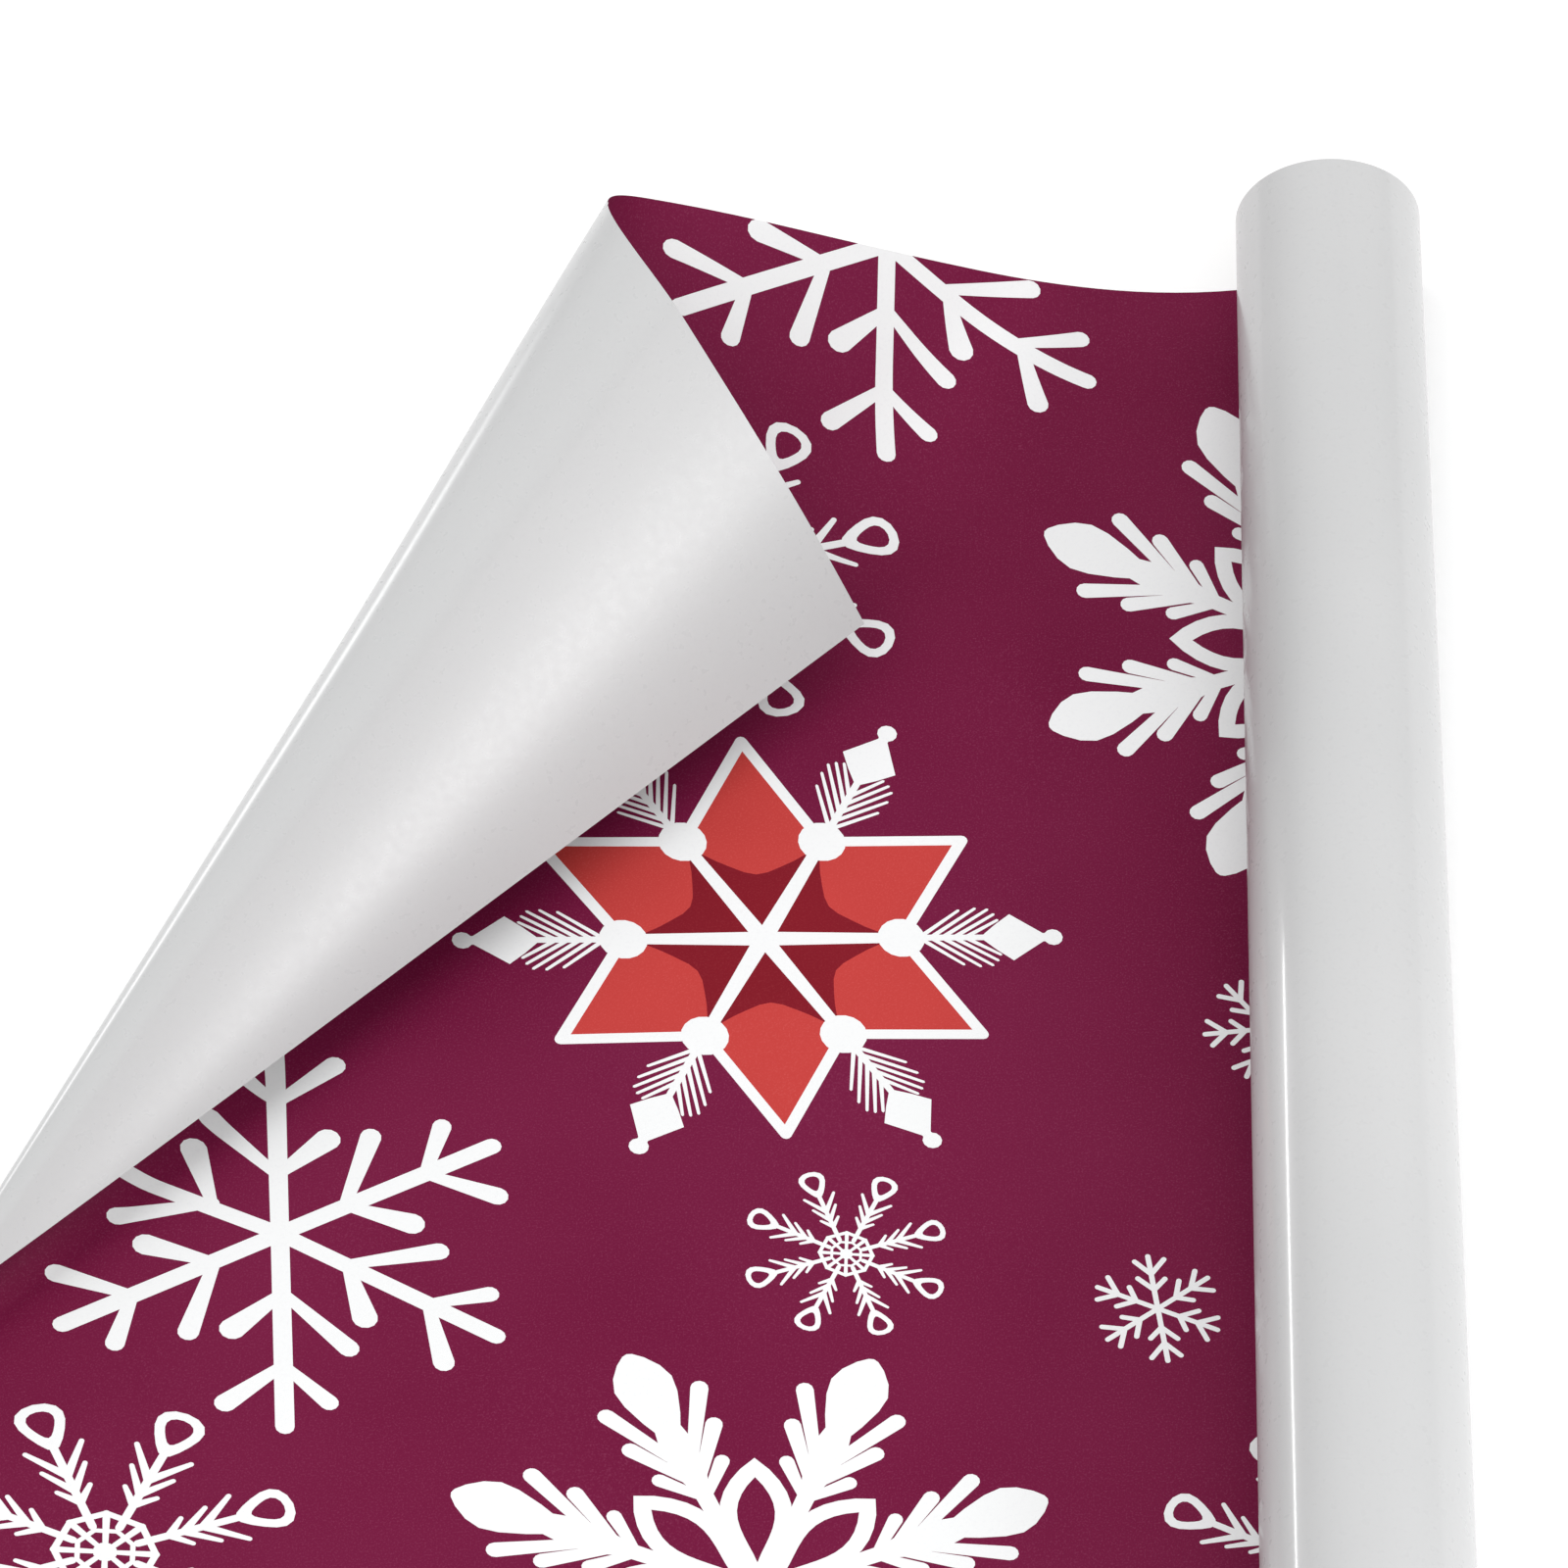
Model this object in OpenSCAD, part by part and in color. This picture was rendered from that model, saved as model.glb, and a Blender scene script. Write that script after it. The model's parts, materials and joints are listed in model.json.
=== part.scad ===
// Roll of gift wrapping paper, partly unrolled, with one corner curled back.
// The roll lies along Y. The laid paper runs from under the roll towards -X,
// print side up, and its far corner is curled up and folded back over the sheet.
// Origin: the middle of the core's bore, on the roll's axis.

/* [Paper] */
// Width of the paper, measured along the roll
sheet_width = 584; // [360:1:900]
// Length that is laid flat, from the free end to the line where the roll rests on it
laid_length = 361; // [240:1:700]
// Thickness of the paper
paper_t = 0.12; // [0.08:0.01:0.2]

/* [Core] */
// Bore of the cardboard core
core_bore_d = 38.1; // [20:0.1:60]
// Thickness of one kraft ply of the core
ply_t = 0.75; // [0.4:0.05:1.5]
// Thickness of the double-sided tape that holds the first turn
tape_t = 0.1; // [0.05:0.01:0.3]
// Width of that tape round the core
tape_width = 18; // [8:1:30]
// Length of that tape, along the middle of the core
tape_length = 160; // [40:1:300]

/* [Wound turns] */
// Half turns of paper on the core, under the outer turn
half_turns = 13; // [4:1:31]
// Air between one turn and the next
turn_gap = 0.42; // [0.25:0.01:0.8]
// Air between the wound turns and the outer turn
outer_gap = 0.1; // [0.08:0.01:0.6]
// Air between the laid paper and the foot of the outer turn
foot_gap = 0.12; // [0.08:0.01:0.4]

/* [Curled corner] */
// Angle of the lift line on the table, from the roll's direction
lift_line_angle = 46.2; // [40:0.1:50]
// Laid paper left flat on the far edge, between the lift line and the roll
lift_to_roll = 26; // [22:1:60]
// How far past the free end the corner's straight lines meet
fan_offset = 15; // [10:1:25]
// Share of the fan, in degrees, where the paper bends up off the table
lift_fan = 6.6; // [5:0.1:9]
// Bend over that share, in degrees
lift_bend = 54.5; // [40:0.5:70]
// Share of the fan that rises straight
rise_fan = 10.7; // [8:0.1:12]
// Share of the fan in the fold at the top
fold_fan = 10.6; // [7:0.1:11]
// Bend of the fold
fold_bend = 177; // [150:1:180]
// Share of the fan in the flap, down to where its tip begins to curve
flap_fan = 7; // [4:0.1:8]
// Bend of the flap's tip
tip_bend = 4.5; // [1:0.5:10]
// Facets across each bend
facets = 16; // [6:1:24]

/* [Hidden] */
$fn = 96;

// Radii of the roll, from the bore outwards
bore_r = core_bore_d / 2;
ply_r = bore_r + ply_t;
core_r = ply_r + ply_t;
first_turn_r = core_r + tape_t;
half_pitch = (paper_t + turn_gap) / 2;
wound_r = first_turn_r + half_turns * half_pitch + paper_t;
outer_inner_r = wound_r + outer_gap;
roll_r = outer_inner_r + paper_t;
table_z = -roll_r;

// The outer turn is open at the foot, where it clears the laid paper
foot_angle = acos(1 - (paper_t + foot_gap) / roll_r);
wound_start = 270 - foot_angle + 180 * half_turns;

// Plan of the laid paper and of the corner's fan of straight lines
free_x = -laid_length;
foot_x = roll_r * sin(foot_angle);
edge_y = sheet_width / 2;
fan_x = free_x - fan_offset;
fan_to_edge = (-lift_to_roll - fan_x) / tan(lift_line_angle);
fan_y = edge_y - fan_to_edge;
lift_end_x = -lift_to_roll;
lift_start_y = fan_y + fan_offset / tan(lift_line_angle);
tip_angle = atan(fan_offset / fan_to_edge);
tip_fan = lift_line_angle - tip_angle - lift_fan - rise_fan - fold_fan - flap_fan;

rise_shares = [[lift_fan, lift_bend], [rise_fan, 0], [fold_fan / 2, fold_bend / 2]];
flap_shares = [[fold_fan / 2, fold_bend / 2], [flap_fan, 0], [tip_fan, tip_bend]];

// Turns a vector about a unit axis
function turned(v, axis, angle) =
    v * cos(angle) + cross(axis, v) * sin(angle) + axis * (axis * v) * (1 - cos(angle));

// A line of the fan is [angle on the flat paper, direction, step across the fan, print-side normal].
// On from one line, bending `tight` degrees per degree of fan, the three vectors
// turn together about one axis
function line_on(line, fan, tight) =
    let (
        size = sqrt(1 + tight * tight),
        axis = (line[3] + line[1] * tight) / size,
        angle = fan * size
    )
    [line[0] - fan, turned(line[1], axis, angle),
     turned(line[2], axis, angle), turned(line[3], axis, angle)];

// The lines across a row of shares, first to last; a straight share is one flat facet
function all_lines(line, shares, i = 0) =
    i == len(shares) ? [line] :
    let (
        fan = shares[i][0],
        tight = shares[i][1] / fan,
        steps = tight == 0 ? 1 : facets
    )
    concat([for (k = [0 : steps - 1]) line_on(line, fan * k / steps, tight)],
           all_lines(line_on(line, fan, tight), shares, i + 1));

lift_line = [lift_line_angle,
             [sin(lift_line_angle), cos(lift_line_angle), 0],
             [-cos(lift_line_angle), sin(lift_line_angle), 0],
             [0, 0, 1]];
rise_lines = all_lines(lift_line, rise_shares);
fold_line = rise_lines[len(rise_lines) - 1];
flap_lines = all_lines(fold_line, flap_shares);

fan_point = [fan_x, fan_y, table_z];

// Where a line of the fan meets the free end and the far edge of the paper
function free_end(line) = fan_point + line[1] * fan_offset / sin(line[0]);
function far_edge(line) = fan_point + line[1] * fan_to_edge / cos(line[0]);

// Curled paper as a closed shell: the back of the paper, then the print side
module curled_paper(lines) {
    n = len(lines);
    back = [for (l = lines) each [free_end(l), far_edge(l)]];
    front = [for (l = lines) each [free_end(l) + l[3] * paper_t, far_edge(l) + l[3] * paper_t]];
    side = 2 * n;
    polyhedron(
        points = concat(back, front),
        faces = concat(
            [for (i = [0 : n - 2]) each [[2*i, 2*i + 2, 2*i + 3], [2*i, 2*i + 3, 2*i + 1]]],
            [for (i = [0 : n - 2]) each [[side + 2*i, side + 2*i + 3, side + 2*i + 2],
                                         [side + 2*i, side + 2*i + 1, side + 2*i + 3]]],
            [for (i = [0 : n - 2]) each [[2*i, side + 2*i, side + 2*i + 2], [2*i, side + 2*i + 2, 2*i + 2]]],
            [for (i = [0 : n - 2]) each [[2*i + 1, 2*i + 3, side + 2*i + 3],
                                         [2*i + 1, side + 2*i + 3, side + 2*i + 1]]],
            [[0, 1, side + 1], [0, side + 1, side]],
            [[side - 2, 2*side - 2, 2*side - 1], [side - 2, 2*side - 1, side - 1]]
        )
    );
}

// Part of a tube along Y, counted from +X towards +Z
module tube_part(inner_r, wall, length, from, sweep) {
    rotate([90, 0, 0])
        rotate([0, 0, from])
            rotate_extrude(angle = sweep)
                translate([inner_r, -length / 2])
                    square([wall, length]);
}

// A whole ply of the core
module core_ply(inner_r, length) {
    rotate([90, 0, 0])
        difference() {
            cylinder(r = inner_r + ply_t, h = length, center = true);
            cylinder(r = inner_r, h = length + 2, center = true);
        }
}

module core_inner_ply() {
    color("tan") core_ply(bore_r, sheet_width);
}

module core_outer_ply() {
    color("burlywood") core_ply(ply_r, sheet_width);
}

module start_tape() {
    tape_angle = tape_width / core_r * 180 / PI;
    color("ivory")
        tube_part(core_r, tape_t, tape_length, wound_start - tape_angle, tape_angle);
}

// One paper spiral made of half turns: each is half a pitch larger than the one inside it,
// and every second centre is moved by half a pitch, so the ends meet
module wound_paper() {
    color("whitesmoke")
        for (n = [0 : half_turns - 1])
            translate(half_pitch * (n % 2) * [cos(wound_start), 0, sin(wound_start)])
                tube_part(first_turn_r + n * half_pitch, paper_t, sheet_width,
                          wound_start - 180 * (n + 1), 180);
}

module outer_turn() {
    color("white")
        tube_part(outer_inner_r, paper_t, sheet_width, foot_angle - 90, 360 - 2 * foot_angle);
}

module laid_sheet() {
    color("maroon")
        translate([0, 0, table_z])
            linear_extrude(paper_t)
                polygon([[free_x, -edge_y], [foot_x, -edge_y], [foot_x, edge_y],
                         [lift_end_x, edge_y], [free_x, lift_start_y]]);
}

module corner_rise() {
    color("maroon") curled_paper(rise_lines);
}

module corner_flap() {
    color("gainsboro") curled_paper(flap_lines);
}

core_inner_ply();
core_outer_ply();
start_tape();
wound_paper();
outer_turn();
laid_sheet();
corner_rise();
corner_flap();
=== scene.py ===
import json
import math
import time

import bpy
import numpy as np
from mathutils import Matrix, Vector, geometry


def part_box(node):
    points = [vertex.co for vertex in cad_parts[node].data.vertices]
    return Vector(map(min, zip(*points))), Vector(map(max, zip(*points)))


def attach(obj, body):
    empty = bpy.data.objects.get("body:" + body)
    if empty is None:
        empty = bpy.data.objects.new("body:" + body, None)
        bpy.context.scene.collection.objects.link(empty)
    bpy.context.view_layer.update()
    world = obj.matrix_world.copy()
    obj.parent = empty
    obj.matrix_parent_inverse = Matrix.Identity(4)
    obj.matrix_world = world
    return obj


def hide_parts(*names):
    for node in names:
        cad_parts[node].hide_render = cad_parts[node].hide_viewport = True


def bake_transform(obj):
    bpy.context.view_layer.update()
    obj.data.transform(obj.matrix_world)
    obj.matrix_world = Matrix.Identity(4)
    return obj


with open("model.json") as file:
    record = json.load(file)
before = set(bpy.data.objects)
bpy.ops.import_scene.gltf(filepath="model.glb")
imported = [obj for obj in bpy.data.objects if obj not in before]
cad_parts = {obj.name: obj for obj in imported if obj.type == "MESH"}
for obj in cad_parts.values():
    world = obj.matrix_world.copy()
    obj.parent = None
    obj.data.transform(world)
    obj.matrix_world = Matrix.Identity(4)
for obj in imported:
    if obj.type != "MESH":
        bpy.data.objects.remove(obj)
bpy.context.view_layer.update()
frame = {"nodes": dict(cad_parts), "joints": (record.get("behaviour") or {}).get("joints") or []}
startedAt = time.time()
mm = 0.001


def report(stage):
    print(f"gift wrap: {stage}, {time.time() - startedAt:.1f} s")


def smooth(low, high, value):
    t = np.clip((value - low) / (high - low), 0, 1)
    return t * t * (3 - 2 * t)


# camera

viewFrom = {
    "place": (0.0915, -0.7377, 1.1593),
    "dip": 52.495,     # degrees below the horizon
    "turn": -15.09,    # degrees away from straight along the roll
    "roll": -16.493,
    "lens": 133.95,
}


def addCamera():
    dip, turn, roll = (math.radians(viewFrom[k]) for k in ("dip", "turn", "roll"))
    ahead = Vector((math.sin(turn) * math.cos(dip), math.cos(turn) * math.cos(dip), -math.sin(dip)))
    level = Vector((math.cos(turn), -math.sin(turn), 0))
    above = level.cross(ahead)
    side = level * math.cos(roll) + above * math.sin(roll)
    up = above * math.cos(roll) - level * math.sin(roll)
    camera = bpy.data.objects.new("camera", bpy.data.cameras.new("camera"))
    bpy.context.scene.collection.objects.link(camera)
    turned = Matrix((side, up, -ahead)).transposed().to_4x4()
    camera.matrix_world = Matrix.Translation(viewFrom["place"]) @ turned
    camera.data.lens = viewFrom["lens"]
    camera.data.sensor_width = 36
    camera.data.clip_start, camera.data.clip_end = 0.05, 20
    bpy.context.scene.camera = camera


addCamera()


# sizes taken from the frame

def boxOf(node):
    low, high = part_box(node)
    return np.array(low) / mm, np.array(high) / mm


sheetLow, sheetHigh = boxOf("laid_sheet")
rollLow, rollHigh = boxOf("outer_turn")
tableZ = sheetLow[2]
paperThick = sheetHigh[2] - sheetLow[2]
freeX, footX, edgeY = sheetLow[0], sheetHigh[0], sheetHigh[1]
rollR = -rollLow[2]
flapJoint = next(j for j in frame["joints"] if j["name"] == "flap_open")
travelJoint = next(j for j in frame["joints"] if j["name"] == "roll_travel")
fanPoint = np.array(flapJoint["pos_m"]) / mm


# the curled corner: straight lines that fan out from one point and turn as they go round

curl = {
    "liftAngle": 46.2,                                   # of the lift line, from the roll's direction
    "shares": ((6.6, 54.5), (10.7, 0), (10.6, 177), (7, 0)),   # (degrees of fan, degrees of bend)
    "tipBend": 4.5,
    # the far edge flares by the ridge: mm up and back, at these degrees of fan, from this share of a line on
    "flareUp": 4.6, "flareBack": 1.4, "flareAt": 17, "flareWide": 8, "flareIn": 4, "flareFrom": 0.62,
    "bulge": 0.011, "bulgeFrom": 25,      # the flap bows out by this share of its length, past these degrees
    "bendStep": 4, "fanStep": 1.2,        # degrees between two lines of corners, at most
}
fanToEdge = edgeY - fanPoint[1]
fanOffset = freeX - fanPoint[0]
tipAngle = math.degrees(math.atan2(fanOffset, fanToEdge))
wholeFan = curl["liftAngle"] - tipAngle
foldMiddle = curl["shares"][0][0] + curl["shares"][1][0] + curl["shares"][2][0] / 2


def turnedFrames(start, fan, tight):
    # start's columns are the line, the step across the fan and the print side; tight is bend per fan
    size = math.hypot(1, tight)
    axis = np.array([tight, 0, 1]) / size
    k = np.array([[0, -axis[2], axis[1]], [axis[2], 0, -axis[0]], [-axis[1], axis[0], 0]])
    angle = np.radians(np.atleast_1d(fan)) * size
    turn = np.eye(3) + np.sin(angle)[:, None, None] * k + (1 - np.cos(angle))[:, None, None] * (k @ k)
    return start @ turn


def framesAt(fan):
    # for an array of fan degrees on from the lift line
    angle = math.radians(curl["liftAngle"])
    along, across = math.cos(angle), math.sin(angle)
    start = np.array([[across, -along, 0], [along, across, 0], [0, 0, 1.0]])
    shares = list(curl["shares"])
    shares.append((wholeFan - sum(s[0] for s in shares), curl["tipBend"]))
    found, begin = np.zeros((len(fan), 3, 3)), 0.0
    for width, bend in shares:
        last = (width, bend) == shares[-1]
        here = (fan >= begin) if last else (fan >= begin) & (fan < begin + width)
        found[here] = turnedFrames(start, fan[here] - begin, bend / width)
        start, begin = turnedFrames(start, width, bend / width)[0], begin + width
    return found


def onCurl(x, y, lift):
    # paper places x, y beyond the lift line, to places in space, raised by lift on the print side
    across, along = x - fanPoint[0], y - fanPoint[1]
    theta = np.degrees(np.arctan2(across, along))
    far = np.hypot(across, along)
    fan = np.clip(curl["liftAngle"] - theta, 0, wholeFan)
    frames = framesAt(fan)
    place = fanPoint + frames[:, :, 0] * far[:, None] + frames[:, :, 2] * np.asarray(lift)[..., None]
    flare = smooth(curl["flareFrom"], 1.0, along / fanToEdge) * smooth(0, curl["flareIn"], fan)
    flare = flare * np.exp(-((fan - curl["flareAt"]) / curl["flareWide"]) ** 2)
    bow = np.sin(math.pi * np.clip((fan - curl["bulgeFrom"]) / (wholeFan - curl["bulgeFrom"]), 0, 1))
    place = place - frames[:, :, 2] * (curl["bulge"] * far * bow)[:, None]
    return place + flare[:, None] * np.array([0, curl["flareBack"], curl["flareUp"]])


liftWay = np.array([math.sin(math.radians(curl["liftAngle"])), math.cos(math.radians(curl["liftAngle"]))])
liftStep = np.array([-liftWay[1], liftWay[0]])
liftFar = (fanPoint[0] + fanToEdge * math.tan(math.radians(curl["liftAngle"])), edgeY)
liftNear = (freeX, fanPoint[1] + fanOffset / math.tan(math.radians(curl["liftAngle"])))


def pastLift(x, y):
    return (x - fanPoint[0]) * liftStep[0] + (y - fanPoint[1]) * liftStep[1]


# the laid paper: flat, with a very slight wave that dies out at the roll and at the lift line

laid = {
    "waveHigh": 0.28,
    "waveLong": 130,
    "still": 26,            # no wave this near the roll, and it grows over the next stretch
    "growOver": 60,
    "growFromLift": 45,
    "zoneStart": -3.0,      # the stretch that feeds out from under the roll as it travels
    "zoneEnd": 0.4,
}
travel = travelJoint["range_m"][1] / mm
openEnd = footX + travel


def waveAt(x, y):
    w = laid["waveLong"]
    wave = np.sin(x * 6.28 / w + 1.3 + 0.7 * np.sin(y / 90)) * np.sin(y * 6.28 / (1.6 * w) + 0.4)
    wave += 0.5 * np.sin((x + y) * 6.28 / (0.61 * w) + 2.1)
    still = smooth(0, laid["growOver"], -x - laid["still"])
    still = still * smooth(0, laid["growFromLift"], -pastLift(x, y))
    return laid["waveHigh"] * (1 + wave / 1.5) / 2 * still


def fedOut(x):
    # where a place on the fully unrolled paper waits at rest, in the narrow zone under the roll
    rest = np.linspace(laid["zoneStart"], laid["zoneEnd"], 4001)
    out = rest + travel * smooth(laid["zoneStart"], laid["zoneEnd"], rest)
    inside = np.interp(x, out, rest)
    return np.where(x < laid["zoneStart"], x, np.where(x > out[-1], x - travel, inside))


def onTable(x, y, lift):
    z = tableZ + np.asarray(lift) + waveAt(x, y)
    return np.stack([fedOut(x), y, z * np.ones_like(x)], 1)


# the print: snowflakes on a half-drop repeat, drawn as shapes and cut into the paper's own faces

printLay = {
    "star": (-148.8, 91.3),        # where the first ornate star sits on the paper
    "across": 313.7, "up": 319.2,  # steps of the repeat
    "lean": -0.154, "upLean": -0.048, "upScale": 0.952,   # the print runs a little off square
    "taper": (0.00044, -0.00043),
    "squeeze": 0.15, "squeezeOver": 18, "slide": 0.29, "slideOver": 40,   # how it eases round the lift
    "reach": 160,                  # no motif is larger than this
    "curlStep": 3.5, "flatStep": 60,   # longest stretch of an outline, on the curl and on the table
}
ink = {"ground": 0, "deepRed": 1, "red": 2, "white": 3, "cutOut": 4, "whiteTop": 5}


def onPaper(z):
    w = 1 + printLay["taper"][0] * z.real + printLay["taper"][1] * z.imag
    x = printLay["star"][0] + (z.real + printLay["upLean"] * z.imag) / w
    y = printLay["star"][1] + (printLay["lean"] * z.real + printLay["upScale"] * z.imag) / w
    past = np.maximum(pastLift(x, y), 0)
    back = -printLay["squeeze"] * past * past / (past + printLay["squeezeOver"])
    slid = -printLay["slide"] * past * past / (past + printLay["slideOver"])
    return x + liftStep[0] * back + liftWay[0] * slid, y + liftStep[1] * back + liftWay[1] * slid


def rod(a, b, wide, wideEnd=None, endSteps=7):
    # a stroke with round ends
    wideEnd = wide if wideEnd is None else wideEnd
    way = (b - a) / abs(b - a)
    turn = np.linspace(-math.pi / 2, math.pi / 2, endSteps)
    tip = b + way * wideEnd / 2 * np.exp(1j * turn)
    tail = a - way * wide / 2 * np.exp(1j * turn)
    return np.concatenate([tip, tail])


def leaf(a, b, wide, fullest=0.6, steps=9, blunt=0.8):
    # a pointed leaf from a to b
    s = np.linspace(0, 1, steps)
    half = wide / 2 * np.sin(math.pi * s ** (math.log(0.5) / math.log(fullest))) ** blunt
    way = b - a
    side = 1j * way / abs(way)
    return np.concatenate([a + way * s + side * half, (a + way * s - side * half)[-2:0:-1]])


def disc(middle, radius, steps=14):
    return middle + radius * np.exp(2j * math.pi * np.arange(steps) / steps)


def both(shapes):
    # an arm's side shapes, mirrored over the arm
    return shapes + [(kind, np.conj(shape)[::-1]) for kind, shape in shapes]


def wheel(arms, shapes, turn):
    return [(kind, shape * np.exp(1j * math.radians(turn + 360 * k / arms)))
            for k in range(arms) for kind, shape in shapes]


def branchFlake(size, turn):
    w = 0.078
    arm = [("white", rod(0j, 1 + 0j, 0.95 * w, w)),
           ("white", rod(0.30 + 0j, 0.585 + 0.265j, 0.6 * w, 1.1 * w)),
           ("white", rod(0.31 + 0j, 0.50 - 0.20j, 0.6 * w, 1.35 * w)),
           ("white", rod(0.68 + 0j, 0.87 + 0.18j, 0.6 * w, w)),
           ("white", rod(0.68 + 0j, 0.885 - 0.235j, 0.6 * w, 1.15 * w))]
    return wheel(6, [(k, s * size) for k, s in arm], turn)


def tinyFlake(size, turn):
    w = 0.085
    arm = [("white", rod(0j, 1 + 0j, w)), ("white", rod(0.36 + 0j, 0.60 + 0.22j, w)),
           ("white", rod(0.36 + 0j, 0.55 - 0.20j, w)), ("white", rod(0.66 + 0j, 0.92 + 0.22j, w)),
           ("white", rod(0.66 + 0j, 0.92 - 0.24j, w))]
    return wheel(6, [(k, s * size) for k, s in arm], turn)


def leafFlake(size, turn):
    side = [0.66 + 0.03j, 0.735 + 0.062j, 0.815 + 0.088j, 0.875 + 0.095j, 0.925 + 0.078j, 0.97 + 0.045j,
            0.995 + 0.016j]
    arm = [("white", np.array(side + [1.0 + 0j] + [np.conj(p) for p in side[::-1]])),
           ("white", rod(0j, 0.5 + 0j, 0.045, 0.06)), ("white", leaf(0.38 + 0j, 0.80 + 0j, 0.11, 0.5))]
    arm += both([("white", rod(0.53 + 0.01j, 0.80 + 0.155j, 0.034, 0.056)),
                 ("white", rod(0.47 + 0.01j, 0.655 + 0.14j, 0.034, 0.054)),
                 ("white", rod(0.41 + 0.01j, 0.515 + 0.105j, 0.03, 0.048))])
    petal = [("white", leaf(0.0 + 0j, 0.53 + 0j, 0.225, 0.60, 13, 0.85)),
             ("cutOut", leaf(0.12 + 0j, 0.455 + 0j, 0.118, 0.58, 11, 0.9)),
             ("whiteTop", disc(0j, 0.085))]
    return wheel(8, [(k, s * size) for k, s in arm], turn) + \
        wheel(8, [(k, s * size) for k, s in petal], turn + 22.5)


def loopFlake(size, turn):
    # size is to the middle of an arm's end loop
    drop = np.exp(2j * math.pi * np.arange(16) / 16)
    drop = drop.real * (1 - 0.3 * (drop.real < 0) * drop.real) + 0.9j * drop.imag * (1 + 0.35 * drop.real)
    arm = [("white", 1 + 0.155 * drop), ("cutOut", 1.01 + 0.088 * drop),
           ("white", rod(0.2 + 0j, 0.84 + 0j, 0.05, 0.05))]
    arm += both([("white", rod(0.60 + 0j, 0.82 + 0.17j, 0.055, 0.032)),
                 ("white", rod(0.48 + 0j, 0.66 + 0.13j, 0.05, 0.03)),
                 ("white", rod(0.39 + 0j, 0.50 + 0.10j, 0.05, 0.03))])
    halfStep = np.exp(1j * math.pi / 8)
    arm += [("white", rod(0.29 / halfStep, 0.29 * halfStep, 0.04)), ("white", disc(0j, 0.07, 12)),
            ("white", rod(0j, 0.29 * halfStep, 0.03, 0.045)),
            ("white", rod(0.17 + 0j, 0.17 * halfStep ** 2, 0.03))]
    return wheel(8, [(k, s * size) for k, s in arm], turn)


def ornateStar(size, turn):
    # size is to the middle of a knot
    step = np.exp(1j * math.pi / 3)
    tip = 1.76 * np.exp(1j * math.pi / 6)
    half = np.exp(1j * math.pi / 6)
    inner = 0.575 * half
    hollow = [r * np.exp(1j * math.radians(a)) for r, a in ((0.86, 3), (0.75, 8), (0.67, 14), (0.60, 22))]
    bowl = hollow + [inner] + [np.conj(p) * step for p in hollow[::-1]]
    arm = [("deepRed", np.array([0.03 * half, 1 + 0j, tip, step])),
           ("red", np.array([1 + 0j, tip, step] + bowl[::-1])),
           ("white", rod(1 + 0j, tip, 0.085)), ("white", rod(step, tip, 0.085)),
           ("white", rod(0j, 1 + 0j, 0.125, 0.085)), ("white", disc(0j, 0.11, 12)),
           ("white", disc(1.0 + 0j, 0.172, 18)), ("white", rod(1.1 + 0j, 1.62 + 0j, 0.055, 0.05)),
           ("white", np.array([1.58 + 0j, 1.70 - 0.115j, 1.815 - 0.21j, 1.93 - 0.125j, 2.06 - 0.03j,
                               2.06 + 0.03j, 1.93 + 0.125j, 1.815 + 0.21j, 1.70 + 0.115j])),
           ("white", rod(1.98 + 0j, 2.10 + 0j, 0.075)), ("white", disc(2.125 + 0j, 0.072, 12))]
    for k, needle in enumerate((0.38, 0.42, 0.42, 0.36, 0.28)):
        root = 1.13 + 0.085 * k
        end = root + 0.02 + needle * np.exp(1j * math.radians(40 - 1.5 * k))
        arm += both([("white", rod(root + 0.0j, end, 0.034, 0.022, 3))])
    return wheel(6, [(k, s * size) for k, s in arm], turn)


motifs = [
    # shapes, and where the motif's middle sits in the repeat
    (ornateStar(35.8, 4.4), 0.2 + 0.4j),
    (branchFlake(60.5, 30.0), -121.8 - 100.4j),
    (leafFlake(83.3, 23.0), -4.3 - 211.9j),
    (loopFlake(41.7, 19.6), -165.6 - 201.3j),
    (loopFlake(23.9, 20.3), 20.1 - 100.5j),
    (tinyFlake(17.5, 38.4), 102.9 - 115.1j),
    (tinyFlake(17.5, 10.0), 134.0 - 20.0j),
]


def finer(x, y, longest):
    # extra corners along an outline, so that it can follow a bend
    xs, ys = [], []
    for k in range(len(x)):
        n = (k + 1) % len(x)
        parts = max(1, int(math.ceil(math.hypot(x[n] - x[k], y[n] - y[k]) / longest)))
        share = np.arange(parts) / parts
        xs.append(x[k] + (x[n] - x[k]) * share)
        ys.append(y[k] + (y[n] - y[k]) * share)
    return np.concatenate(xs), np.concatenate(ys)


def printShapes():
    across, drop = printLay["across"], complex(printLay["across"] / 2, printLay["up"])
    reach = printLay["reach"]
    found = []
    for shapes, middle in motifs:
        for i in range(-4, 6):
            for j in range(-3, 4):
                at = middle + across * i + drop * j
                cx, cy = onPaper(np.array([at]))
                if not (freeX - reach < cx[0] < openEnd + reach and abs(cy[0]) < edgeY + reach):
                    continue
                if abs(1 + printLay["taper"][0] * at.real + printLay["taper"][1] * at.imag) < 0.3:
                    continue
                for kind, shape in shapes:
                    x, y = onPaper(at + shape)
                    if x.max() < freeX or x.min() > openEnd or y.max() < -edgeY or y.min() > edgeY:
                        continue
                    if (x * np.roll(y, -1) - y * np.roll(x, -1)).sum() < 0:
                        x, y = x[::-1], y[::-1]
                    curled = (pastLift(x, y) > -5).any()
                    x, y = finer(x, y, printLay["curlStep"] if curled else printLay["flatStep"])
                    found.append((ink[kind], x, y))
    return found


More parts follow.
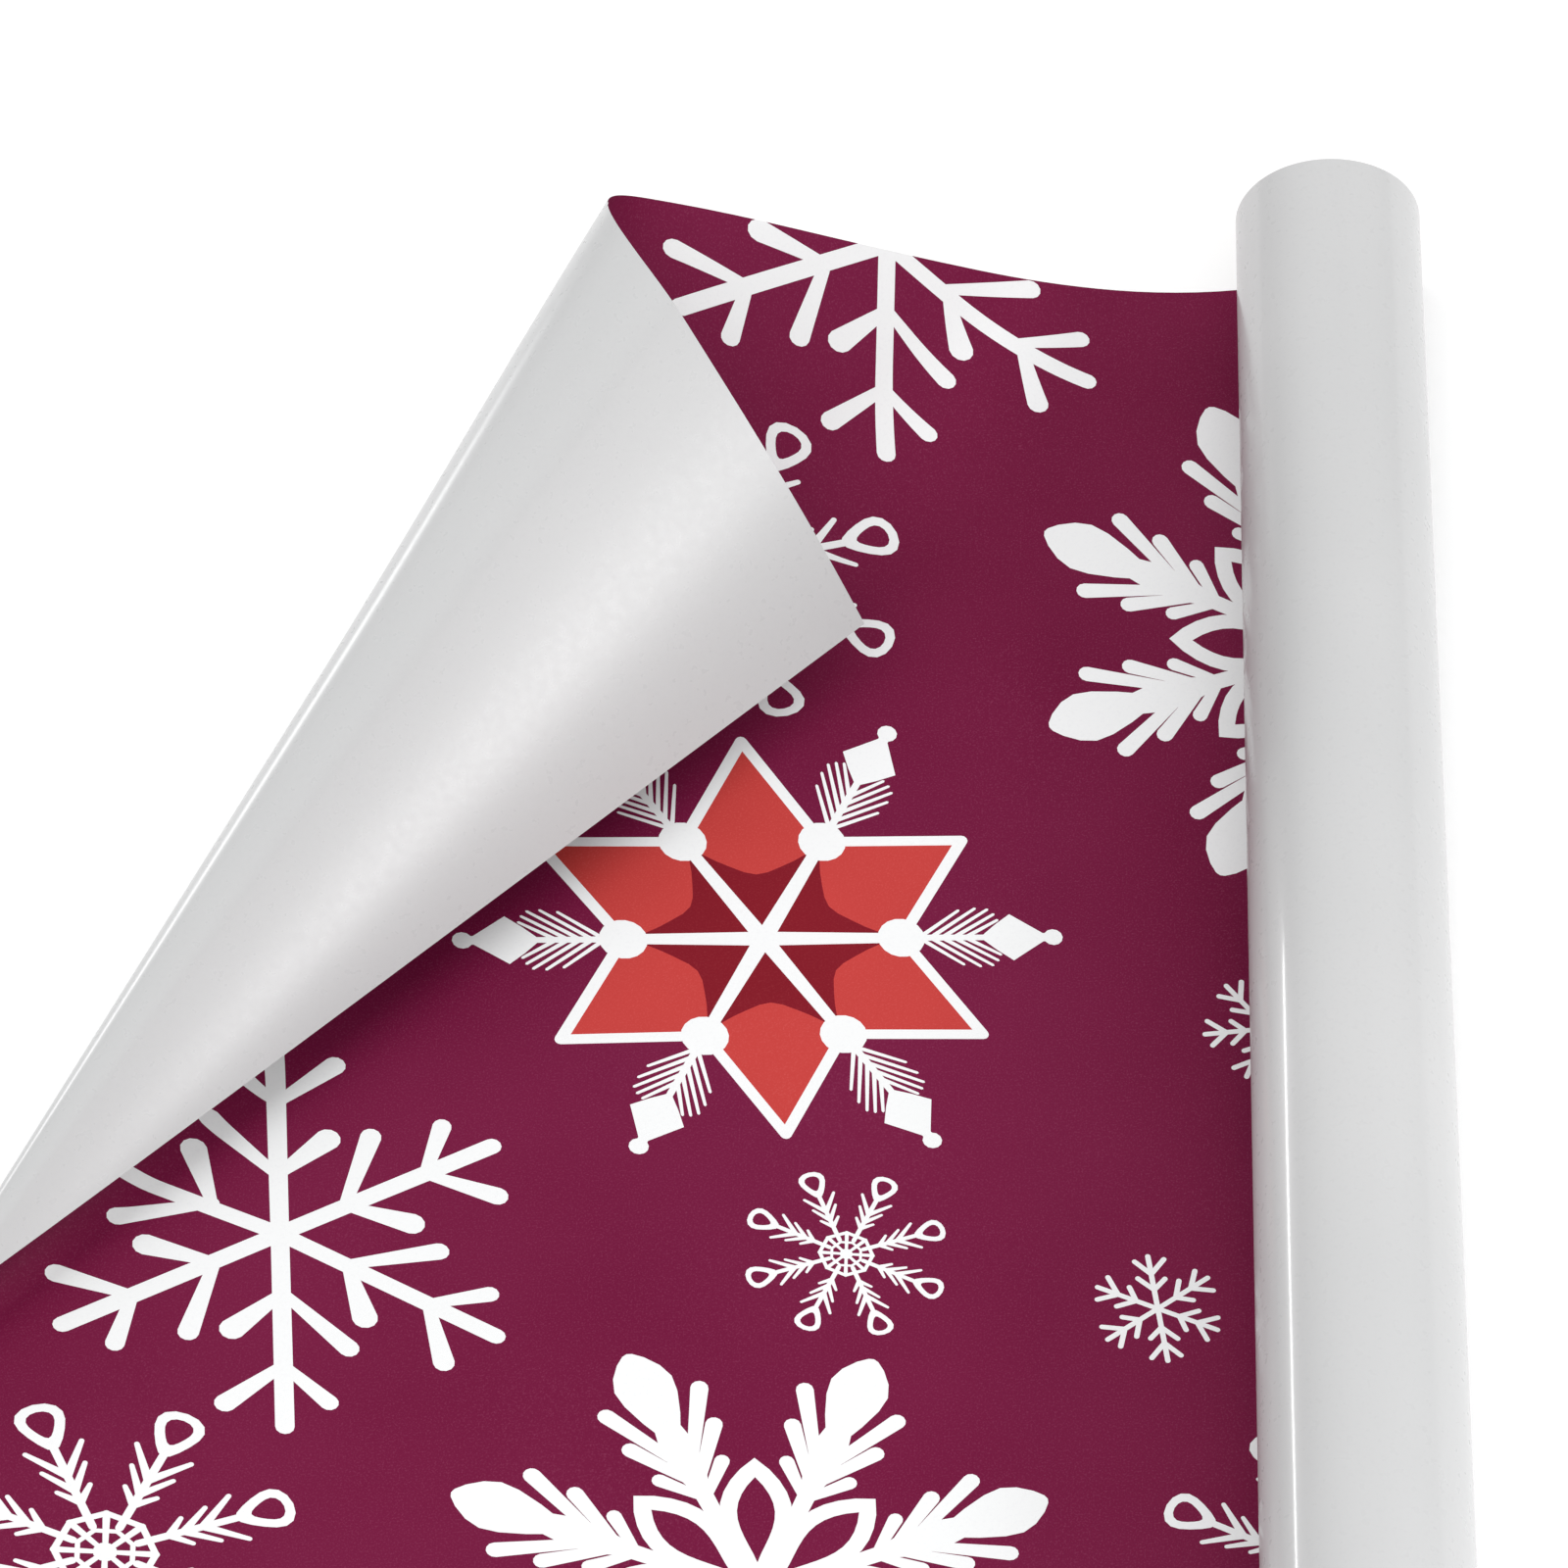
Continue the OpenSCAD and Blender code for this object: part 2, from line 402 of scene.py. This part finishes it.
def cutPaper(shapes, spacing):
    # triangles of the whole paper in its own plane, with an ink for each
    corners = [(freeX, -edgeY), (openEnd, -edgeY), (openEnd, edgeY), liftFar, (freeX, edgeY), liftNear]
    points, faces, kinds = [Vector(c) for c in corners], [list(range(len(corners)))], [ink["ground"]]
    edges = [(3, 5)]
    for x in np.arange(freeX, openEnd + 1, spacing):
        for y in np.linspace(-edgeY, edgeY, int(2 * edgeY / spacing) + 1):
            if pastLift(x, y) < -2 and x < openEnd:
                points.append(Vector((min(x, openEnd), y)))
    for fan in fanSteps():
        theta = math.radians(curl["liftAngle"] - fan)
        begin, end = fanOffset / math.sin(theta), fanToEdge / math.cos(theta)
        first = len(points)
        for far in np.linspace(begin, end, max(2, int((end - begin) / 9) + 1)):
            points.append(Vector((fanPoint[0] + far * math.sin(theta), fanPoint[1] + far * math.cos(theta))))
        edges += [(k, k + 1) for k in range(first, len(points) - 1)]
    for kind, x, y in shapes:
        first = len(points)
        points += [Vector((float(a), float(b))) for a, b in zip(x, y)]
        faces.append(list(range(first, first + len(x))))
        kinds.append(kind)
    out = geometry.delaunay_2d_cdt(points, edges, faces, 1, 1e-3)
    places, triangles, shapesOver = out[0], out[2], out[5]
    kept, inks = [], []
    for triangle, over in zip(triangles, shapesOver):
        if 0 in over:
            kept.append(triangle)
            inks.append(max(kinds[f] for f in over))
    return np.array([tuple(p) for p in places]), np.array(kept), np.array(inks)


def fanSteps():
    # fan degrees at which the curl gets a line of corners: closer where the bend is tight
    steps, begin = [], 0.0
    shares = list(curl["shares"]) + [(wholeFan - sum(s[0] for s in curl["shares"]), curl["tipBend"])]
    for width, bend in shares:
        count = max(math.ceil(bend / curl["bendStep"]), math.ceil(width / curl["fanStep"]))
        steps += [begin + width * k / count for k in range(count)]
        begin += width
    return steps + [wholeFan]


# finishes

def addNode(tree, kind, **settings):
    node = tree.nodes.new(kind)
    for name, value in settings.items():
        setattr(node, name, value)
    return node


def makeFinish(name, look):
    finish = bpy.data.materials.new(name)
    finish.use_nodes = True
    tree = finish.node_tree
    tree.nodes.clear()
    link = tree.links.new
    out = addNode(tree, "ShaderNodeOutputMaterial")
    paint = addNode(tree, "ShaderNodeBsdfPrincipled")
    paint.inputs["Specular IOR Level"].default_value = look.get("shine", 0.5)
    paint.inputs["IOR"].default_value = 1.45
    if "coat" in look:
        paint.inputs["Coat Weight"].default_value = look["coat"]
        paint.inputs["Coat Roughness"].default_value = look.get("coatRough", 0.3)
    link(paint.outputs["BSDF"], out.inputs["Surface"])
    place = addNode(tree, "ShaderNodeTexCoord").outputs["Object"]
    stretch = addNode(tree, "ShaderNodeMapping")
    stretch.inputs["Scale"].default_value = look.get("stretch", (1, 1, 1))
    link(place, stretch.inputs["Vector"])
    place = stretch.outputs["Vector"]

    def cloud(scale, detail=2.0, rough=0.5):
        noiseNode = addNode(tree, "ShaderNodeTexNoise")
        noiseNode.inputs["Scale"].default_value = scale
        noiseNode.inputs["Detail"].default_value = detail
        noiseNode.inputs["Roughness"].default_value = rough
        link(place, noiseNode.inputs["Vector"])
        return noiseNode.outputs["Fac"]

    def between(value, low, high, fromLow=0.3, fromHigh=0.7):
        ranged = addNode(tree, "ShaderNodeMapRange")
        limits = {"From Min": fromLow, "From Max": fromHigh, "To Min": low, "To Max": high}
        for socket, number in limits.items():
            ranged.inputs[socket].default_value = number
        link(value, ranged.inputs["Value"])
        return ranged.outputs["Result"]

    def blendColours(share, a, b):
        mix = addNode(tree, "ShaderNodeMix", data_type="RGBA")
        link(share, mix.inputs["Factor"])
        for socket, value in ((mix.inputs[6], a), (mix.inputs[7], b)):
            if isinstance(value, tuple):
                socket.default_value = (*value, 1)
            else:
                link(value, socket)
        return mix.outputs[2]

    patches = between(cloud(look["patchScale"], 3), 0, 1)
    colour = blendColours(patches, look["colour"], look["patchColour"])
    specks = between(cloud(look["speckScale"], 1.5, 0.6), 0, look["specks"], 0.52, 0.78)
    colour = blendColours(specks, colour, look["speckColour"])
    link(colour, paint.inputs["Base Color"])
    link(between(cloud(look["grainScale"] * 0.6, 2), *look["rough"]), paint.inputs["Roughness"])
    fine = cloud(look["grainScale"], 2.5, 0.6)
    broad = cloud(look["grainScale"] / 9, 2)
    height = addNode(tree, "ShaderNodeMath", operation="MULTIPLY_ADD")
    link(broad, height.inputs[0])
    height.inputs[1].default_value = look.get("broad", 1.0)
    link(fine, height.inputs[2])
    bump = addNode(tree, "ShaderNodeBump")
    bump.inputs["Strength"].default_value = look["bump"]
    bump.inputs["Distance"].default_value = look["grainDeep"] * mm
    link(height.outputs[0], bump.inputs["Height"])
    link(bump.outputs["Normal"], paint.inputs["Normal"])
    finish.diffuse_color = (*look["colour"], 1)
    return finish


printFinish = {
    "ground": {"colour": (0.150, 0.0062, 0.040), "patchColour": (0.178, 0.011, 0.052), "patchScale": 9,
               "speckColour": (0.30, 0.06, 0.13), "speckScale": 2100, "specks": 0.38,
               "rough": (0.40, 0.55), "grainScale": 1100, "grainDeep": 0.05, "bump": 0.55, "shine": 0.06},
    "deepRed": {"colour": (0.225, 0.010, 0.020), "patchColour": (0.19, 0.008, 0.017), "patchScale": 14,
                "speckColour": (0.36, 0.05, 0.06), "speckScale": 2100, "specks": 0.3,
                "rough": (0.40, 0.55), "grainScale": 1100, "grainDeep": 0.05, "bump": 0.55, "shine": 0.06},
    "red": {"colour": (0.56, 0.055, 0.050), "patchColour": (0.50, 0.048, 0.044), "patchScale": 14,
            "speckColour": (0.70, 0.14, 0.13), "speckScale": 2100, "specks": 0.3,
            "rough": (0.42, 0.57), "grainScale": 1100, "grainDeep": 0.05, "bump": 0.55, "shine": 0.06},
    "white": {"colour": (0.90, 0.905, 0.91), "patchColour": (0.87, 0.88, 0.88), "patchScale": 12,
              "speckColour": (0.80, 0.80, 0.82), "speckScale": 1300, "specks": 0.35,
              "rough": (0.42, 0.58), "grainScale": 1100, "grainDeep": 0.05, "bump": 0.5, "shine": 0.15},
}
backFinish = {"colour": (0.575, 0.578, 0.58), "patchColour": (0.55, 0.553, 0.556), "patchScale": 7,
              "speckColour": (0.50, 0.50, 0.51), "speckScale": 900, "specks": 0.22,
              "rough": (0.27, 0.30), "grainScale": 700, "grainDeep": 0.03, "bump": 0.12, "broad": 0.2,
              "shine": 0.75}
# the roll's outer paper: the same white satin back with a glossier coat, and its colour painted lighter to
# stand in for light on the roll
rollBackPaintedLighterFinish = dict(backFinish, colour=(0.60, 0.60, 0.602), shine=0.25, coat=0.32, coatRough=0.10)
kraftFinish = {"colour": (0.42, 0.27, 0.145), "patchColour": (0.36, 0.225, 0.115), "patchScale": 45,
               "speckColour": (0.24, 0.14, 0.07), "speckScale": 900, "specks": 0.5, "stretch": (1, 0.25, 1),
               "rough": (0.75, 0.92), "grainScale": 900, "grainDeep": 0.12, "bump": 0.7, "shine": 0.25}
tapeFinish = {"colour": (0.82, 0.80, 0.70), "patchColour": (0.78, 0.75, 0.64), "patchScale": 60,
              "speckColour": (0.9, 0.9, 0.85), "speckScale": 500, "specks": 0.3,
              "rough": (0.18, 0.3), "grainScale": 300, "grainDeep": 0.02, "bump": 0.3, "shine": 0.5}

groundInk = makeFinish("burgundy_print", printFinish["ground"])
deepRedInk = makeFinish("deep_red_print", printFinish["deepRed"])
redInk = makeFinish("red_print", printFinish["red"])
whiteInk = makeFinish("white_print", printFinish["white"])
whiteBack = makeFinish("white_satin_back", backFinish)
rollBackPaintedLighter = makeFinish("roll_satin_back_painted_lighter", rollBackPaintedLighterFinish)
kraftBoard = makeFinish("kraft_board", kraftFinish)
clearTape = makeFinish("clear_tape", tapeFinish)
paperSlots = [groundInk, deepRedInk, redInk, whiteInk, whiteBack]
# the roll gets the copy of the white back that is painted lighter
rollSlots = [groundInk, deepRedInk, redInk, whiteInk, rollBackPaintedLighter]
slotOfInk = {0: 0, 1: 1, 2: 2, 3: 3, 4: 0, 5: 3}
backSlot = 4
report("finishes made")


# meshes

def addPiece(name, points, faces, slots, slotOfFace):
    mesh = bpy.data.meshes.new(name)
    mesh.from_pydata([tuple(p) for p in np.asarray(points) * mm], [], [list(map(int, f)) for f in faces])
    for finish in slots:
        mesh.materials.append(finish)
    mesh.polygons.foreach_set("material_index", np.asarray(slotOfFace, dtype=np.int32))
    mesh.polygons.foreach_set("use_smooth", np.ones(len(mesh.polygons), dtype=bool))
    mesh.update()
    piece = bpy.data.objects.new(name, mesh)
    bpy.context.scene.collection.objects.link(piece)
    return piece


def stack(parts):
    # several (points, faces, slots) lists as one
    points, faces, slots, first = [], [], [], 0
    for p, f, s in parts:
        points.append(np.asarray(p))
        faces += [[i + first for i in face] for face in f]
        slots += list(s)
        first += len(p)
    return np.concatenate(points), faces, slots


def strip(low, high, flip=False):
    # a row of quads between two lines of points
    n = len(low)
    faces = [[i, i + 1, n + i + 1, n + i] for i in range(n - 1)]
    if flip:
        faces = [f[::-1] for f in faces]
    return np.concatenate([low, high]), faces, [backSlot] * len(faces)


def usedOnly(points, faces):
    used = np.unique(faces)
    where = np.full(len(points), -1)
    where[used] = np.arange(len(used))
    return points[used], where[faces]


paperMesh = {
    "spacing": 16,        # between two corners of the open print side
    "backStep": 15, "backRows": 40, "rimSteps": 60,
    "cornerRows": 48,
}


def makePaper():
    places, triangles, inks = cutPaper(printShapes(), paperMesh["spacing"])
    report(f"print cut into the paper, {len(triangles)} faces")
    middle = places[triangles].mean(1)
    curled = pastLift(middle[:, 0], middle[:, 1]) > 0
    slots = np.array([slotOfInk[k] for k in inks])

    def layer(which, where, lift):
        p, f = usedOnly(places, triangles[which])
        return where(p[:, 0], p[:, 1], lift), f.tolist(), slots[which].tolist()

    # the laid sheet: print above, back below, and a rim round its open sides
    top = layer(~curled, onTable, paperThick)
    xs = np.unique(np.concatenate([np.arange(freeX, -5, paperMesh["backStep"]), fedGrid()]))
    rows = paperMesh["backRows"]
    back, backFaces = [], []
    for x in xs:
        upTo = float(np.interp(x, (freeX, liftFar[0]), (liftNear[1], edgeY)))
        y = np.linspace(-edgeY, upTo, rows)
        back.append(onTable(np.full(rows, x), y, 0.0))
    for i in range(len(xs) - 1):
        backFaces += [[i * rows + j, i * rows + j + 1, (i + 1) * rows + j + 1, (i + 1) * rows + j]
                      for j in range(rows - 1)]
    back = np.concatenate(back)

    def rim(x, y, flip=False):
        x, y = x + 0 * y, y + 0 * x
        return strip(onTable(x, y, 0), onTable(x, y, paperThick), flip)

    steps = paperMesh["rimSteps"]
    rims = [rim(freeX, np.linspace(-edgeY, liftNear[1], steps), True), rim(xs, -edgeY),
            rim(openEnd, np.linspace(-edgeY, edgeY, steps)), rim(xs[xs >= liftFar[0]], edgeY, True)]
    parts = [top, (back, backFaces, [backSlot] * len(backFaces))] + rims
    sheet = addPiece("laid_paper", *asPaper(stack(parts)))

    # the curled corner, on the same lines
    top = layer(curled, onCurl, paperThick)
    fans = np.array(fanSteps())
    theta = np.radians(curl["liftAngle"] - fans)
    rows = paperMesh["cornerRows"]
    grid = np.zeros((len(fans), rows, 3))
    edges = {}
    for r, share in enumerate(np.linspace(0, 1, rows)):
        far = fanOffset / np.sin(theta) * (1 - share) + fanToEdge / np.cos(theta) * share
        x, y = fanPoint[0] + far * np.sin(theta), fanPoint[1] + far * np.cos(theta)
        grid[:, r] = onCurl(x, y, 0.0)
        if r in (0, rows - 1):
            edges[r] = (grid[:, r], onCurl(x, y, paperThick))
    count = len(fans)
    faces = [[i * rows + j, (i + 1) * rows + j, (i + 1) * rows + j + 1, i * rows + j + 1]
             for i in range(count - 1) for j in range(rows - 1)]
    far = np.linspace(fanOffset / math.sin(theta[-1]), fanToEdge / math.cos(theta[-1]), rows)
    x, y = fanPoint[0] + far * math.sin(theta[-1]), fanPoint[1] + far * math.cos(theta[-1])
    parts = [top, (grid.reshape(-1, 3), [f[::-1] for f in faces], [backSlot] * len(faces)),
             strip(*edges[0], True), strip(*edges[rows - 1]),
             strip(onCurl(x, y, 0.0), onCurl(x, y, paperThick))]
    corner = addPiece("curled_corner", *asPaper(stack(parts)))
    return sheet, corner


def fedGrid():
    # places along the paper that feeds out, close enough for its back to follow
    return np.concatenate([np.arange(laid["zoneStart"], openEnd, paperMesh["backStep"]), [openEnd]])


def asPaper(made):
    points, faces, slots = made
    return points, faces, paperSlots, slots


laidPaper, curledCorner = makePaper()
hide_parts("laid_sheet")
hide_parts("corner_rise", "corner_flap")
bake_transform(laidPaper)
foldFrame = framesAt(np.array([foldMiddle]))[0]
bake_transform(curledCorner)
report("laid paper and curled corner made")


# the roll

wrap = {
    "fromAngle": -82.0, "toAngle": 266.0,     # from the foot, under the roll, round to the laid paper again
    "flatTo": 60, "roundFrom": 8, "roundBy": 34,   # degrees past the foot where flat paper becomes round
    "easeIn": 0.34, "easeFrom": 195,          # the last part turns inwards, towards the wound turns
    "dent": 0.10,
    "lengthSteps": 96,
    "angleSteps": 180,
}
windings = {"innerR": 20.76, "outerR": 24.0, "turns": 6.5, "endAngle": 262.0, "dent": 0.03,
            "stepsPerTurn": 96, "lengthSteps": 14}


def spiralPaper(name, angles, radii, lengthSteps, dent):
    # angles in degrees and outer radii in mm; white outside, print inside
    turn, stillOver = np.radians(angles), 25
    ys = np.linspace(-edgeY, edgeY, lengthSteps)
    count = len(angles)
    layers = []
    for inset in (0.0, paperThick):
        grid = np.zeros((count, lengthSteps, 3))
        for j, y in enumerate(ys):
            still = smooth(0, stillOver, angles - angles[0]) * smooth(0, stillOver, angles[-1] - angles)
            soft = 0.6 * np.sin(2 * turn + 0.9 + y / 170)
            soft += 0.4 * np.sin(5 * turn + y / 61) * np.sin(y / 95 + 1)
            r = radii - inset - dent * still * (1 + soft) / 2
            grid[:, j] = np.stack([r * np.cos(turn), np.full(count, y), r * np.sin(turn)], 1)
        layers.append(grid)
    n = lengthSteps
    outside = [[i * n + j, i * n + j + 1, (i + 1) * n + j + 1, (i + 1) * n + j]
               for i in range(count - 1) for j in range(n - 1)]
    parts = [(layers[0].reshape(-1, 3), outside, [backSlot] * len(outside)),
             (layers[1].reshape(-1, 3), [f[::-1] for f in outside], [0] * len(outside)),
             strip(layers[0][:, 0], layers[1][:, 0], True), strip(layers[0][:, -1], layers[1][:, -1]),
             strip(layers[0][0], layers[1][0]), strip(layers[0][-1], layers[1][-1], True)]
    points, faces, slots = stack(parts)
    return addPiece(name, points, faces, rollSlots, slots)


def makeRoll():
    angles = np.linspace(wrap["fromAngle"], wrap["toAngle"], wrap["angleSteps"])
    past = np.maximum(angles + 90, 0)
    floorR = rollR / np.cos(np.radians(np.minimum(past, wrap["flatTo"])))
    radii = floorR + (rollR - floorR) * smooth(wrap["roundFrom"], wrap["roundBy"], past)
    radii = radii - wrap["easeIn"] * smooth(wrap["easeFrom"], wrap["toAngle"], angles)
    outer = spiralPaper("outer_wrap", angles, radii, wrap["lengthSteps"], wrap["dent"])
    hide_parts("outer_turn")
    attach(outer, "outer_turn")
    count = int(windings["turns"] * windings["stepsPerTurn"])
    angles = np.linspace(windings["endAngle"], windings["endAngle"] + 360 * windings["turns"], count)
    radii = np.linspace(windings["outerR"], windings["innerR"] + paperThick, count)
    wound = spiralPaper("wound_turns", angles, radii, windings["lengthSteps"], windings["dent"])
    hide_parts("wound_paper")
    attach(wound, "roll")


core = {"segments": 120, "bevel": 0.12, "lengthSteps": 30, "fitGap": 0.01}


def kraftPly(name, node, innerR, outerR):
    # one ply of the core: a tube with eased edges
    inside = np.linspace(-edgeY + core["bevel"], edgeY - core["bevel"], core["lengthSteps"])
    ys = np.concatenate([[-edgeY], inside, [edgeY]])
    turn = 2 * math.pi * np.arange(core["segments"]) / core["segments"]
    rings = []
    ease = [core["bevel"]] + [0] * core["lengthSteps"] + [core["bevel"]]
    profile = [(y, outerR - e) for y, e in zip(ys, ease)] + [(y, innerR + e) for y, e in zip(ys[::-1], ease)]
    for y, r in profile:
        rings.append(np.stack([r * np.cos(turn), np.full(len(turn), y), r * np.sin(turn)], 1))
    n, rows = len(turn), len(rings)
    faces = [[k * n + i, k * n + (i + 1) % n, ((k + 1) % rows) * n + (i + 1) % n, ((k + 1) % rows) * n + i]
             for k in range(rows) for i in range(n)]
    ply = addPiece(name, np.concatenate(rings), faces, [kraftBoard], [0] * len(faces))
    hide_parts(node)
    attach(ply, "roll")


makeRoll()
innerPlyR = boxOf("core_inner_ply")[1][2]
outerPlyR = boxOf("core_outer_ply")[1][2]
plyThick = outerPlyR - innerPlyR
kraftPly("kraft_inner_ply", "core_inner_ply", innerPlyR - plyThick, innerPlyR - core["fitGap"])
kraftPly("kraft_outer_ply", "core_outer_ply", innerPlyR, outerPlyR)
tape = frame["nodes"]["start_tape"]
tape.data.materials.clear()
tape.data.materials.append(clearTape)
report("roll, core and tape made")


# floor and light

studio = {
    "floorColour": (0.92, 0.92, 0.92),
    "floorGlow": 0.12,
    "floorHalf": 6.0,
    "floorDrop": 0.00003,                  # so that the paper doesn't share its height
    "brightest": (0.16, -0.10, 1.0),       # the sky is brightest this way
    "sky": (-0.15, 1.0, 0.22, 1.30),       # from and to alignment, strengths there
    "streak": {"at": (-1.2, 0.74, 0.29), "aim": (0, 0.1, 0), "along": (0, 1, 0),
               "long": 0.5, "wide": 0.04, "power": 3.2},
    "glow": {"at": (0.655, -0.6, 0.405), "aim": (-0.22, 0.12, 0.02), "along": (0.195, 0.26, 0.094),
             "long": 0.46, "wide": 0.15, "power": 2.9},
}


def addStudio():
    mesh = bpy.data.meshes.new("floor")
    half, z = studio["floorHalf"], tableZ * mm - studio["floorDrop"]
    corners = [(-half, -half, z), (half, -half, z), (half, half, z), (-half, half, z)]
    mesh.from_pydata(corners, [], [(0, 1, 2, 3)])
    floor = bpy.data.objects.new("floor", mesh)
    bpy.context.scene.collection.objects.link(floor)
    pale = bpy.data.materials.new("pale_floor")
    pale.use_nodes = True
    paint = pale.node_tree.nodes["Principled BSDF"]
    paint.inputs["Base Color"].default_value = (*studio["floorColour"], 1)
    paint.inputs["Roughness"].default_value = 0.9
    paint.inputs["Emission Color"].default_value = (1, 1, 1, 1)
    paint.inputs["Emission Strength"].default_value = studio["floorGlow"]
    mesh.materials.append(pale)
    for name in ("streak", "glow"):
        look = studio[name]
        lamp = bpy.data.lights.new(name + "_light", "AREA")
        lamp.shape = "RECTANGLE"
        lamp.size, lamp.size_y = look["wide"], look["long"]
        lamp.energy = look["power"]
        holder = bpy.data.objects.new(name + "_light", lamp)
        away = (Vector(look["at"]) - Vector(look["aim"])).normalized()
        along = Vector(look["along"])
        along = (along - away * along.dot(away)).normalized()
        turned = Matrix((along.cross(away), along, away)).transposed().to_4x4()
        holder.matrix_world = Matrix.Translation(look["at"]) @ turned
        bpy.context.scene.collection.objects.link(holder)
    world = bpy.data.worlds.new("studio")
    world.use_nodes = True
    tree = world.node_tree
    sky = tree.nodes["Background"]
    sky.inputs["Color"].default_value = (1, 1, 1, 1)
    aligned = addNode(tree, "ShaderNodeVectorMath", operation="DOT_PRODUCT")
    aligned.inputs[1].default_value = Vector(studio["brightest"]).normalized()
    tree.links.new(addNode(tree, "ShaderNodeTexCoord").outputs["Generated"], aligned.inputs[0])
    ranged = addNode(tree, "ShaderNodeMapRange", interpolation_type="SMOOTHSTEP")
    for socket, value in zip(("From Min", "From Max", "To Min", "To Max"), studio["sky"]):
        ranged.inputs[socket].default_value = value
    tree.links.new(aligned.outputs["Value"], ranged.inputs["Value"])
    tree.links.new(ranged.outputs["Result"], sky.inputs["Strength"])
    bpy.context.scene.world = world
    bpy.context.scene.view_settings.view_transform = "Standard"


addStudio()
report("studio ready")
bpy.context.view_layer.update()
